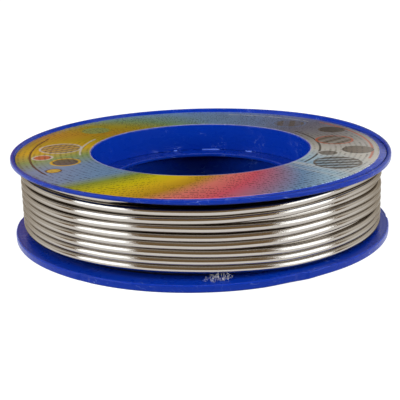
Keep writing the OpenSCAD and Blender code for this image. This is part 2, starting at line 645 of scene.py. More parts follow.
    def _print_disc(self, sheet: Sheet, under: Source, disc: Disc) -> Source:
        """Print one disc over the colour so far.

        Args:
            sheet: the label's face.
            under: the colour so far.
            disc: the disc.

        Returns:
            The colour with the disc on it.
        """
        tree = sheet.tree
        turn = math.radians(disc.front_deg)
        centre = (disc.reach_mm * math.sin(turn), -disc.reach_mm * math.cos(turn), 0.0)
        away = add_node(tree, "VectorMath", {0: sheet.place_mm, 1: centre}, operation="DISTANCE")
        share = add_node(
            tree, "MapRange",
            {"Value": away, "From Min": disc.size_mm - self.disc_soft_mm,
             "From Max": disc.size_mm + self.disc_soft_mm, "To Min": disc.cover, "To Max": 0.0},
        )
        if disc.stripe_mm > 0:
            share = self._stripes(sheet, share, disc)
        filled = add_node(
            tree, "Mix", {0: share, 6: under, 7: linear(disc.ink.value)}, data_type="RGBA"
        )
        edge = self._soft_line(tree, distance_from(tree, away, disc.size_mm), disc.outline_mm)
        return add_node(
            tree, "Mix", {0: edge, 6: filled, 7: linear(disc.outline.value)}, data_type="RGBA"
        )

    def _stripes(self, sheet: Sheet, share: Source, disc: Disc) -> Source:
        """Break a disc's fill into stripes.

        Args:
            sheet: the label's face.
            share: the fill's mask.
            disc: the disc.

        Returns:
            The striped mask.
        """
        tree = sheet.tree
        turn = math.radians(disc.front_deg + self.stripe_turn_deg)
        across = (math.cos(turn), math.sin(turn), 0.0)
        along = add_node(
            tree, "VectorMath", {0: sheet.place_mm, 1: across}, operation="DOT_PRODUCT"
        )
        wave = add_node(tree, "Math", {0: along, 1: disc.stripe_mm}, operation="PINGPONG")
        bars = add_node(
            tree, "MapRange",
            {"Value": wave, "From Min": disc.stripe_mm * 0.42, "From Max": disc.stripe_mm * 0.58,
             "To Min": 0.35},
        )
        return add_node(tree, "Math", {0: share, 1: bars}, operation="MULTIPLY")

    def _print_arc(self, sheet: Sheet, under: Source, arc: Arc) -> Source:
        """Print one arc over the colour so far.

        Args:
            sheet: the label's face.
            under: the colour so far.
            arc: the arc.

        Returns:
            The colour with the arc on it.
        """
        tree = sheet.tree
        line = self._soft_line(tree, distance_from(tree, sheet.reach, arc.reach_mm), arc.width_mm)
        within = add_node(
            tree, "Math",
            {0: sheet.turns, 1: arc.front_deg / 360, 2: arc.half_span_deg / 360},
            operation="COMPARE",
        )
        mask = add_node(tree, "Math", {0: line, 1: within}, operation="MULTIPLY")
        return add_node(tree, "Mix", {0: mask, 6: under, 7: linear(arc.ink.value)}, data_type="RGBA")

    def _painted_sheen(self, sheet: Sheet, under: Source) -> Source:
        """Print a fan of soft, pale rays, which paint a sheen on the varnish.

        Args:
            sheet: the label's face.
            under: the colour so far.

        Returns:
            The colour with the rays on it.
        """
        tree = sheet.tree
        fan = add_node(tree, "CombineXYZ", {"X": sheet.turns})
        streaks = add_node(
            tree, "TexNoise", {"Scale": self.sheen_streaks_per_turn, "Detail": 2.0, "Vector": fan},
            noise_dimensions="2D",
        )
        # pale streaks near the right: a painted sheen
        pale = add_node(
            tree, "MapRange", {"Value": streaks, "From Min": 0.4, "From Max": 0.72, "To Max": 0.7}
        )
        away = distance_from(tree, sheet.turns, self.sheen_middle_deg / 360)
        near = add_node(
            tree, "MapRange",
            {"Value": away, "From Max": self.sheen_reach_deg / 360, "To Min": 1.0, "To Max": 0.0},
            interpolation_type="SMOOTHSTEP",
        )
        mask = add_node(tree, "Math", {0: pale, 1: near}, operation="MULTIPLY")
        return add_node(
            tree, "Mix", {0: mask, 6: under, 7: linear(Ink.CHALK.value)}, data_type="RGBA"
        )

    def _mark_rows(self, sheet: Sheet) -> Source:
        """Strew small ink marks along rows that wind slowly outwards.

        Args:
            sheet: the label's face.

        Returns:
            A mask, 1 on a mark.
        """
        tree, turns = sheet.tree, sheet.turns
        straight = add_node(tree, "Math", {0: sheet.reach, 1: self.row_pitch_mm}, operation="DIVIDE")
        wound = add_node(
            tree, "Math", {0: turns, 1: float(self.rows_per_turn), 2: straight},
            operation="MULTIPLY_ADD",
        )
        row = add_node(tree, "Math", {0: wound}, operation="FLOOR")
        in_row = add_node(tree, "Math", {0: wound}, operation="FRACT")
        centred = add_node(tree, "Math", {0: in_row, 1: 0.5, 2: 0.2}, operation="COMPARE")
        marks_per_turn = 2 * math.pi * self.middle_mm / self.mark_mm
        along = add_node(tree, "Math", {0: turns, 1: marks_per_turn}, operation="MULTIPLY")
        apart = add_node(tree, "Math", {0: row, 1: self.row_shift}, operation="MULTIPLY")
        strip = add_node(tree, "CombineXYZ", {"X": along, "Y": apart})
        marks = add_node(
            tree, "TexNoise", {"Scale": 1.0, "Detail": 0.0, "Vector": strip}, noise_dimensions="2D"
        )
        mark = add_node(tree, "MapRange", {"Value": marks, "From Min": 0.49, "From Max": 0.58})
        patch = add_node(tree, "TexNoise", {"Scale": 0.09, "Detail": 1.0, "Vector": sheet.place_mm})
        shown = add_node(tree, "MapRange", {"Value": patch, "From Min": 0.36, "From Max": 0.44})
        row_marks = add_node(tree, "Math", {0: mark, 1: centred}, operation="MULTIPLY")
        return add_node(tree, "Math", {0: row_marks, 1: shown}, operation="MULTIPLY")

    def surface(self, tree: Tree) -> Source:
        """Draw the nodes and give the shader."""
        place = add_node(tree, "TexCoord").outputs["Object"]
        place_mm = add_node(
            tree, "VectorMath", {0: place, 1: (1 / MM, 1 / MM, 0.0)}, operation="MULTIPLY"
        )
        axes = add_node(tree, "SeparateXYZ", {0: place_mm})
        towards_front = add_node(tree, "Math", {0: axes.outputs["Y"], 1: -1.0}, operation="MULTIPLY")
        angle = add_node(tree, "Math", {0: axes.outputs["X"], 1: towards_front}, operation="ARCTAN2")
        turns = add_node(tree, "Math", {0: angle, 1: 2 * math.pi}, operation="DIVIDE")
        reach = add_node(tree, "VectorMath", {0: place_mm}, operation="LENGTH")
        sheet = Sheet(tree, place_mm, turns, reach)
        colour = self._painted_sheen(sheet, self._wash_colour(sheet))
        for arc in self.arcs:
            colour = self._print_arc(sheet, colour, arc)
        for disc in self.discs:
            colour = self._print_disc(sheet, colour, disc)
        mark_share = add_node(
            tree, "Math", {0: self._mark_rows(sheet), 1: self.mark_cover}, operation="MULTIPLY"
        )
        inked = add_node(
            tree, "Mix", {0: mark_share, 6: colour, 7: linear(Ink.BLACK.value)}, data_type="RGBA"
        )
        # pale lilac ring at the bore: the paper's edge, lightened as a painted highlight of the bore's
        # mouth
        edge_highlight_share = add_node(
            tree, "MapRange",
            {"Value": reach, "From Min": self.paper_edge_mm - self.paper_soft_mm,
             "From Max": self.paper_edge_mm + self.paper_soft_mm, "To Min": 1.0, "To Max": 0.0},
        )
        face = add_node(
            tree, "Mix", {0: edge_highlight_share, 6: inked, 7: linear(self.paper_edge_highlight_hex)}, data_type="RGBA"
        )
        fibres = scaled_place(tree, (0.8, 0.8, 0.8))
        grain = add_node(tree, "TexNoise", {"Scale": 1.0, "Detail": 4.0, "Vector": fibres})
        roughness = add_node(
            tree, "MapRange",
            {"Value": grain, "To Min": self.roughness - 0.05, "To Max": self.roughness + 0.06},
        )
        bump = add_node(tree, "Bump", {"Strength": 0.05, "Distance": 0.05 * MM, "Height": grain})
        return add_node(
            tree, "BsdfPrincipled",
            {"IOR": self.ior, "Specular IOR Level": self.gloss, "Base Color": face,
             "Roughness": roughness, "Normal": bump},
        )


@dataclass(frozen=True)
class LitFloor(Finish):
    """White acrylic floor, lit evenly from below.

    It keeps the floor white up to the spool's foot, with hardly a shadow. Under the spool
    its glow fades out, a painted shadow, so no light comes up through the bore.
    """

    name: str = "lit_acrylic_floor"
    top_hex: str = "#787876"
    glow_hex: str = "#FFFFFF"
    glow: float = 1.0
    shade_from_mm: float = 34.0
    shade_to_mm: float = 39.6

    def surface(self, tree: Tree) -> Source:
        """Draw the nodes and give the shader."""
        place = add_node(tree, "TexCoord")
        reach = add_node(tree, "VectorMath", {0: place.outputs["Object"]}, operation="LENGTH")
        # the glow fades out under the spool: a painted shadow
        lit = add_node(
            tree, "MapRange",
            {"From Min": self.shade_from_mm * MM, "From Max": self.shade_to_mm * MM,
             "To Max": self.glow, "Value": reach},
        )
        return add_node(
            tree, "BsdfPrincipled",
            {"Base Color": linear(self.top_hex), "Roughness": 0.9, "Specular IOR Level": 0.1,
             "Emission Color": linear(self.glow_hex), "Emission Strength": lit},
        )


def link_mesh(mesh: bpy.types.Mesh, material: bpy.types.Material) -> bpy.types.Object:
    """Put a finished mesh in the scene at the origin, under its own name.

    Args:
        mesh: the mesh, in metres in the part's frame.
        material: its one material.

    Returns:
        The new object.
    """
    mesh.materials.clear()
    mesh.materials.append(material)
    piece = bpy.data.objects.new(mesh.name, mesh)
    bpy.context.scene.collection.objects.link(piece)
    return piece


def add_piece(
    mesh: bpy.types.Mesh, material: bpy.types.Material, node: Node | None = None
) -> None:
    """Put one piece of the spool in the scene.

    Args:
        mesh: the mesh, in metres in the part's frame.
        material: its one material.
        node: the CAD node that it stands for.
    """
    piece = link_mesh(mesh, material)
    if node:
        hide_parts(node.value)
    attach(piece, BODY)
    log.info("%s: %d faces", mesh.name, len(mesh.polygons))


def lathe(
    name: str,
    section: Iterable[tuple[float, float]],
    steps: int,
    closed: bool = True,
    start_deg: float = 0.0,
    sweep_deg: float = 360.0,
    sharp_deg: float = 35.0,
) -> bpy.types.Mesh:
    """Spin a section round the spool's axis.

    Args:
        name: the mesh's name.
        section: corners as distance from the axis and height, in millimetres.
        steps: number of steps of the spin.
        closed: whether the last corner joins the first.
        start_deg: `front_deg` at which the sweep starts.
        sweep_deg: length of the sweep.
        sharp_deg: edges sharper than this stay sharp.

    Returns:
        The mesh, in metres, with its normals outwards.
    """
    work = bmesh.new()
    turn = math.radians(start_deg)
    corners = [
        work.verts.new((r * MM * math.sin(turn), -r * MM * math.cos(turn), z * MM))
        for r, z in section
    ]
    edges = [work.edges.new(pair) for pair in zip(corners, corners[1:])]
    if closed:
        edges.append(work.edges.new((corners[-1], corners[0])))
    whole = sweep_deg >= 360
    if closed and not whole:
        work.faces.new(corners)
    # a whole turn is spun as one wedge, which is then copied round: spinning slows down
    # as the mesh grows
    wedges = WEDGES if whole else 1
    bmesh.ops.spin(
        work,
        geom=corners + edges,
        cent=(0, 0, 0),
        axis=(0, 0, 1),
        dvec=(0, 0, 0),
        angle=math.radians(sweep_deg / wedges),
        steps=steps // wedges,
        use_merge=False,
        use_duplicate=False,
    )
    wedge = work.verts[:] + work.edges[:] + work.faces[:]
    for number in range(1, wedges):
        copied = bmesh.ops.duplicate(work, geom=wedge)["geom"]
        bmesh.ops.rotate(
            work,
            cent=(0, 0, 0),
            matrix=Matrix.Rotation(2 * math.pi * number / wedges, 3, "Z"),
            verts=[part for part in copied if isinstance(part, bmesh.types.BMVert)],
        )
    bmesh.ops.remove_doubles(work, verts=work.verts[:], dist=MERGE_M)
    if closed and not whole:
        open_edges = [e for e in work.edges if e.is_boundary]
        bmesh.ops.contextual_create(work, geom=open_edges)
    bmesh.ops.recalc_face_normals(work, faces=work.faces[:])
    mesh = bpy.data.meshes.new(name)
    work.to_mesh(mesh)
    work.free()
    mesh.shade_smooth()
    mesh.set_sharp_from_angle(angle=math.radians(sharp_deg))
    return mesh


def rounded_section(
    corners: Sequence[tuple[float, float, float]], arc_steps: int = 4, guard_mm: float = 0.05
) -> list[tuple[float, float]]:
    """Round the corners of a closed section.

    A guard point next to each arc keeps the shading of the flats even.

    Args:
        corners: distance from the axis, height and rounding radius of each corner.
        arc_steps: number of steps in each arc.
        guard_mm: distance from an arc's end to its guard point.

    Returns:
        The section's points, as distance from the axis and height.
    """
    points: list[tuple[float, float]] = []
    for i, (reach, height, radius) in enumerate(corners):
        corner = Vector((reach, height))
        if radius <= 0:
            points.append((reach, height))
            continue
        back = (Vector(corners[i - 1][:2]) - corner).normalized()
        ahead = (Vector(corners[(i + 1) % len(corners)][:2]) - corner).normalized()
        half = back.angle(ahead) / 2
        run = radius / math.tan(half)
        middle = corner + (back + ahead).normalized() * (radius / math.sin(half))
        first, last = corner + back * run - middle, corner + ahead * run - middle
        points.append(tuple(corner + back * (run + guard_mm)))
        for step in range(arc_steps + 1):
            arm = first.lerp(last, step / arc_steps).normalized() * radius
            points.append(tuple(middle + arm))
        points.append(tuple(corner + ahead * (run + guard_mm)))
    return points


def reshape(mesh: bpy.types.Mesh, move: Callable[[float, float, float], tuple[float, float]]) -> None:
    """Move a lathed mesh's points within their upright planes.

    Args:
        mesh: the mesh, in metres.
        move: gives a point's new distance from the axis and height, from its distance,
            its height and its `front_deg`, all in millimetres and degrees.
    """
    for point in mesh.vertices:
        x, y, z = (value / MM for value in point.co)
        turn = math.atan2(x, -y)
        reach, height = move(math.hypot(x, y), z, math.degrees(turn))
        point.co = (reach * math.sin(turn) * MM, -reach * math.cos(turn) * MM, height * MM)
    mesh.update()


def sweep(
    name: str, lines: Sequence[Sequence[Vector]], radius_m: float, side_resolution: int
) -> bpy.types.Mesh:
    """Sweep a round wire along centre lines.

    Args:
        name: the mesh's name.
        lines: the centre points of each line, in metres.
        radius_m: the wire's radius.
        side_resolution: Blender's bevel resolution for the wire's roundness.

    Returns:
        Closed tubes with a map, U round the wire and V along it.
    """
    curve = bpy.data.curves.new(name, "CURVE")
    curve.dimensions = "3D"
    curve.twist_mode = "Z_UP"
    curve.bevel_depth = radius_m
    curve.bevel_resolution = side_resolution
    curve.use_fill_caps = True
    for line in lines:
        spline = curve.splines.new("POLY")
        spline.points.add(len(line) - 1)
        for place, point in zip(spline.points, line):
            place.co = (*point, 1.0)
    holder = bpy.data.objects.new(name + "_line", curve)
    bpy.context.scene.collection.objects.link(holder)
    graph = bpy.context.evaluated_depsgraph_get()
    mesh = bpy.data.meshes.new_from_object(holder.evaluated_get(graph))
    mesh.name = name
    bpy.data.objects.remove(holder)
    bpy.data.curves.remove(curve)
    work = bmesh.new()
    work.from_mesh(mesh)
    bmesh.ops.remove_doubles(work, verts=work.verts[:], dist=MERGE_M)
    bmesh.ops.recalc_face_normals(work, faces=work.faces[:])
    work.to_mesh(mesh)
    work.free()
    mesh.shade_smooth()
    mesh.set_sharp_from_angle(angle=math.radians(WIRE_SHARP_DEG))
    return mesh


def smooth_between(xs: Sequence[float], ys: Sequence[float], x: float) -> float:
    """Read a smooth curve through given points.

    Args:
        xs: rising positions of the points.
        ys: values at the points.
        x: where to read.

    Returns:
        The value of a cubic curve that passes the points without sharp turns.
    """
    if x <= xs[0]:
        return ys[0]
    if x >= xs[-1]:
        return ys[-1]
    i = max(j for j, at in enumerate(xs) if at <= x)

    def slope(j: int) -> float:
        """Slope at one point, from its two neighbours."""
        low, high = max(j - 1, 0), min(j + 1, len(xs) - 1)
        return (ys[high] - ys[low]) / (xs[high] - xs[low])

    step = xs[i + 1] - xs[i]
    t = (x - xs[i]) / step
    return (
        (2 * t**3 - 3 * t**2 + 1) * ys[i]
        + (t**3 - 2 * t**2 + t) * step * slope(i)
        + (-2 * t**3 + 3 * t**2) * ys[i + 1]
        + (t**3 - t**2) * step * slope(i + 1)
    )


def ease(x: float, start: float, end: float) -> float:
    """Rise smoothly from 0 to 1 between two positions."""
    t = min(max((x - start) / (end - start), 0.0), 1.0)
    return t * t * (3 - 2 * t)


@dataclass(frozen=True)
class Slit:
    """A slit where two turns of the top layer have drawn apart.

    Attributes:
        above: number of the turn above it, from the top.
        middle_deg: `front_deg` where it is widest.
        reach_deg: how far it reaches to both sides.
        widest_mm: its width in the middle.
    """

    above: int
    middle_deg: float
    reach_deg: float
    widest_mm: float

    def width(self, front_deg: float) -> float:
        """Width of the slit at one angle."""
        share = abs(front_deg - self.middle_deg) / self.reach_deg
        return self.widest_mm * (1 + math.cos(math.pi * min(share, 1.0))) / 2


@dataclass(frozen=True)
class WireLay:
    """How the two outer layers of wire lie on the spool.

    The top layer runs down from the upper flange, counterclockwise seen from above. Its
    turns lie in the grooves of the layer below, which was wound upwards. Between the two
    `swap` angles, round the back, the lower layer's turns step up a groove and the top
    ones ride over them. The lowest turn's heights set the others, a wire apart but for
    the slits.

    Attributes:
        turns: number of turns in the top layer.
        stations_deg: `front_deg` of the lowest turn's heights.
        last_turn_mm: heights of the lowest turn's centre there.
        slits: the slits between turns.
        pitch_mm: distance between the centres of turns that touch.
        back_pitch_mm: the same at the back, where the turns cross over the layer below.
        wire_mm: the wire's diameter.
        outer_mm: reach of the top layer's outer edge.
        layer_step_mm: how much deeper the layer below lies.
        tuck_mm: how much deeper the last turn of the layer below lies, at the front.
        last_out_mm: how far the same turn stands out at the left, where the flange is bent up.
        last_up_mm: how much higher it lies there.
        peep: how far the layer below comes out into a slit, as a share of its width.
        head_mm: greatest height of a centre, with the wire against the upper flange.
        foot_mm: least height of a centre, with the wire against the lower flange.
        swap_deg: where the steps of the lower layer start, on both sides of the back.
        finish_deg: where the top layer ends, in its last turn.
        ride_over_mm: how much the top turns stand out over the steps.
        loose_deg: from where to where the pitch grows, on both sides of the front.
        hide_deg: from where to where the last turn of the layer below goes in.
        show_deg: from where to where it comes back out.
        out_deg: from where to where it starts to stand out, at the left.
        peep_deg: from where to where the layer below stops coming out into slits.
        climb_deg: from where to where the wire climbs from the lower layer to the top.
        ride_deg: from where to where the top turns rise over the steps.
        start_mm: how much deeper the wire's start lies.
        start_deg: over how long a way it comes up from there.
        tip_mm: how far the free end stands out.
        tip_deg: how long the end is.
        slow_sway_mm: reach of the wire's slow sway, which takes slow_sway_deg.
        quick_sway_mm: reach of its quick sway, which takes quick_sway_deg.
    """

    turns: int = 8
    stations_deg: tuple[float, ...] = (-180, -110, -50, -10, 10, 25, 50, 110, 180)
    last_turn_mm: tuple[float, ...] = (4.13, 3.78, 3.53, 3.66, 3.33, 2.86, 2.86, 2.78, 2.58)
    slits: tuple[Slit, ...] = (
        Slit(1, -50.0, 60.0, 0.33),
        Slit(1, 80.0, 60.0, 0.18),
        Slit(2, -50.0, 35.0, 0.24),
        Slit(2, 60.0, 78.0, 1.08),
        Slit(3, 0.0, 50.0, 0.2),
        Slit(5, 43.0, 44.0, 0.72),
    )
    pitch_mm: float = 1.475
    back_pitch_mm: float = 1.55
    wire_mm: float = 1.53
    outer_mm: float = 38.2
    layer_step_mm: float = 1.22
    tuck_mm: float = 1.5
    last_out_mm: float = 0.65
    last_up_mm: float = 0.33
    peep: float = 0.55
    head_mm: float = 15.35
    foot_mm: float = 2.25
    swap_deg: float = 128.0
    finish_deg: float = 150.0
    ride_over_mm: float = 0.17
    loose_deg: tuple[float, float] = (60.0, 175.0)
    hide_deg: tuple[float, float] = (-29.0, -9.0)
    show_deg: tuple[float, float] = (75.0, 120.0)
    out_deg: tuple[float, float] = (-125.0, -95.0)
    peep_deg: tuple[float, float] = (90.0, 125.0)
    climb_deg: tuple[float, float] = (-230.0, -200.0)
    ride_deg: tuple[float, float] = (120.0, 165.0)
    start_mm: float = 1.2
    start_deg: float = 25.0
    tip_mm: float = 0.5
    tip_deg: float = 9.0
    slow_sway_mm: float = 0.04
    slow_sway_deg: float = 23.0
    quick_sway_mm: float = 0.015
    quick_sway_deg: float = 8.0

    def turn_height(self, turn: int, front_deg: float) -> float:
        """Height of a turn's centre.

        Args:
            turn: number of the turn, from the top; one past the last is a turn that only
                the layer below has.
            front_deg: angle round the axis, from -180 to 180.

        Returns:
            The height in millimetres.
        """
        lowest = smooth_between(self.stations_deg, self.last_turn_mm, front_deg)
        loose = ease(abs(front_deg), *self.loose_deg)
        pitch = self.pitch_mm + (self.back_pitch_mm - self.pitch_mm) * loose
        slits = sum(s.width(front_deg) for s in self.slits if s.above >= turn)
        return lowest + (self.turns - turn) * pitch + slits

    def lower_height(self, turn: int, front_deg: float) -> float:
        """Height of the layer below, midway between one turn of the top layer and the next.

        Args:
            turn: number of the turn, from the top.
            front_deg: angle round the axis, from -180 to 180.

        Returns:
            The height in millimetres.
        """
        above = self.turn_height(turn - 1, front_deg)
        height = (self.turn_height(turn, front_deg) + above) / 2
        if turn == 1:
            height = self.head_mm
        return min(max(height, self.foot_mm), self.head_mm)

    def centre(self, front_deg: float, reach_mm: float, height_mm: float) -> Vector:
        """Place a point of the wire's centre line.

        Args:
            front_deg: angle round the axis.
            reach_mm: distance from the axis.
            height_mm: height over the foot.

        Returns:
            The point in metres.
        """
        turn = math.radians(front_deg)
        return MM * Vector((reach_mm * math.sin(turn), -reach_mm * math.cos(turn), height_mm))

    def wander(self, along_deg: float, seed: float) -> float:
        """Sway a hand-fed wire a little.

        Args:
            along_deg: way along the wire.
            seed: which sway, of the ones that differ.

        Returns:
            The sway in millimetres.
        """
        slow = noise.noise(Vector((along_deg / self.slow_sway_deg, seed, 0.0)))
        quick = noise.noise(Vector((along_deg / self.quick_sway_deg, seed, 7.0)))
        return self.slow_sway_mm * slow + self.quick_sway_mm * quick

    def lower_run(self, step_deg: float) -> list[Vector]:
        """Follow the wire up the lower layer, from the lower flange to the upper one.

        Args:
            step_deg: angle between points.

        Returns:
            Centre points in metres.
        """
        reach = self.outer_mm - self.wire_mm / 2 - self.layer_step_mm
        points: list[Vector] = []
        front = -self.swap_deg
        turn = self.turns
        wound = 0.0
        while turn > 1 or front <= self.swap_deg:
            if front <= self.swap_deg:
                height = self.lower_height(turn, front)
            else:
                low = self.lower_height(turn, self.swap_deg)
                high = self.lower_height(turn - 1, -self.swap_deg)
                share = ease(front, self.swap_deg, 360 - self.swap_deg)
                height = low + (high - low) * share
            dive = self.start_mm * (1 - ease(wound, 0.0, self.start_deg))
            if turn == 1:
                going_in = ease(front, *self.hide_deg)
                hidden = going_in * (1 - ease(front, *self.show_deg))
                out = ease(front, *self.out_deg) * (1 - going_in)
                dive = self.tuck_mm * hidden - self.last_out_mm * out
                height += self.last_up_mm * out
            elif front <= self.swap_deg:
                above = self.turn_height(turn - 1, front)
                spare = above - self.turn_height(turn, front) - self.pitch_mm
                dive -= self.peep * max(spare, 0.0) * (1 - ease(abs(front), *self.peep_deg))
            sway = self.wander(wound, 3.0)
            points.append(self.centre(front, reach - dive + sway / 2, height + sway))
            front += step_deg
            wound += step_deg
            if front > 360 - self.swap_deg:
                front -= 360
                turn -= 1
        return points

    def top_run(self, step_deg: float) -> list[Vector]:
        """Follow the wire down the top layer, from the climb to its free end.

        Args:
            step_deg: angle between points.

        Returns:
            Centre points in metres.
        """
        reach = self.outer_mm - self.wire_mm / 2
        points: list[Vector] = []
        along = self.swap_deg - 360 + step_deg
        end = (self.turns - 1) * 360 + self.finish_deg
        while along <= end:
            turns_down, front = divmod(along + 180, 360)
            front -= 180
            climb = self.layer_step_mm * (1 - ease(along, *self.climb_deg))
            over = self.ride_over_mm * ease(abs(front), *self.ride_deg)
            sway = self.wander(along, 11.0)
            lift = self.tip_mm * ease(along, end - self.tip_deg, end)
            height = min(self.turn_height(int(turns_down) + 1, front) + sway, self.head_mm)
            points.append(self.centre(front, reach - climb + over + lift + sway / 2, height))
            along += step_deg
        return points


@dataclass
class SolderWinding:
    """The wound solder: two outer layers of real wire over a core of deeper turns."""

    lay: WireLay = field(default_factory=WireLay)
    step_deg: float = 2.0
    side_resolution: int = 6
    hub_mm: float = 25.15
    foot_z_mm: float = 1.5
    head_z_mm: float = 16.1
    deep_turns: int = 9
    arc_steps: int = 8
    core_steps: int = 120

    def _core_section(self) -> list[tuple[float, float]]:
        """Section of the deeper layers: a plain block with a ridge for each turn."""
        radius = (self.head_z_mm - self.foot_z_mm) / self.deep_turns / 2
        reach = self.lay.outer_mm - self.lay.wire_mm / 2 - 2 * self.lay.layer_step_mm
        section = [(self.hub_mm, self.foot_z_mm)]
        for turn in range(self.deep_turns):
            middle = self.foot_z_mm + (2 * turn + 1) * radius
            for step in range(self.arc_steps + 1):
                angle = math.pi * (step / self.arc_steps - 0.5)
                if turn and not step:
                    continue
                section.append((reach + radius * math.cos(angle), middle + radius * math.sin(angle)))
        section.append((self.hub_mm, self.head_z_mm))
        return section

    def build(self) -> None:
        """Wind the wire and put it in place of the plain solids."""
        points = self.lay.lower_run(self.step_deg) + self.lay.top_run(self.step_deg)
        length_mm = sum((b - a).length for a, b in zip(points, points[1:])) / MM
        lay, radius_mm = self.lay, self.lay.wire_mm / 2
        wire = sweep("solder_wire_outer_layers", [points], radius_mm * MM, self.side_resolution)
        solder = DrawnSolder(wire_length_mm=length_mm, wire_round_mm=math.pi * lay.wire_mm)
        add_piece(wire, solder.build(), Node.OUTER_LAYER)
        core = lathe("solder_deeper_layers", self._core_section(), self.core_steps)
        add_piece(core, ShadedDeepSolder().build(), Node.INNER_LAYERS)
        log.info("solder winding: %.0f mm of wire in two layers", length_mm)


@dataclass
class FlangeLabel:
    """The ring of printed paper on the upper flange."""

    inner_mm: float = 23.4
    outer_mm: float = 39.05
    face_mm: float = 16.95
    thick_mm: float = 0.15
    edge_mm: float = 0.04
    curl_mm: float = 0.04
    curl_width_mm: float = 0.4
    guard_mm: float = 0.5
    trim_mm: float = 0.75
    shift_mm: float = 0.7
    steps: int = 360

    def section(self) -> list[tuple[float, float]]:
        """Section of the label, with soft edges and its bore edge a little raised."""
        low, high = self.face_mm, self.face_mm + self.thick_mm
        return [
            (self.inner_mm, low + self.curl_mm),
            (self.inner_mm, high + self.curl_mm - self.edge_mm),
            (self.inner_mm + self.edge_mm, high + self.curl_mm),
            (self.inner_mm + self.curl_width_mm / 2, high + self.curl_mm / 3),
            (self.inner_mm + self.curl_width_mm, high),
            (self.outer_mm - self.guard_mm, high),
            (self.outer_mm - 2 * self.edge_mm, high),
            (self.outer_mm - self.edge_mm, high),
            (self.outer_mm, high - self.edge_mm),
            (self.outer_mm, low),
            (self.inner_mm + self.curl_width_mm, low),
        ]

    def _shift_rim(self, reach: float, height: float, front_deg: float) -> tuple[float, float]:
        """Trim the outer edge all round and set it a little to the left.

        Args:
            reach: distance from the axis.
            height: height over the foot.
            front_deg: angle round the axis.

        Returns:
            The new distance and the same height.
        """
        share = ease(reach, self.inner_mm + 1, self.outer_mm)
        towards_left = -math.sin(math.radians(front_deg))
        return reach + share * (self.shift_mm * towards_left - self.trim_mm), height

    def build(self) -> None:
        """Build the label and put it in place of its plain solid."""
        mesh = lathe("printed_flange_label", self.section(), self.steps, sharp_deg=40)
        reshape(mesh, self._shift_rim)
        add_piece(mesh, PrintedFilm().build(), Node.LABEL)


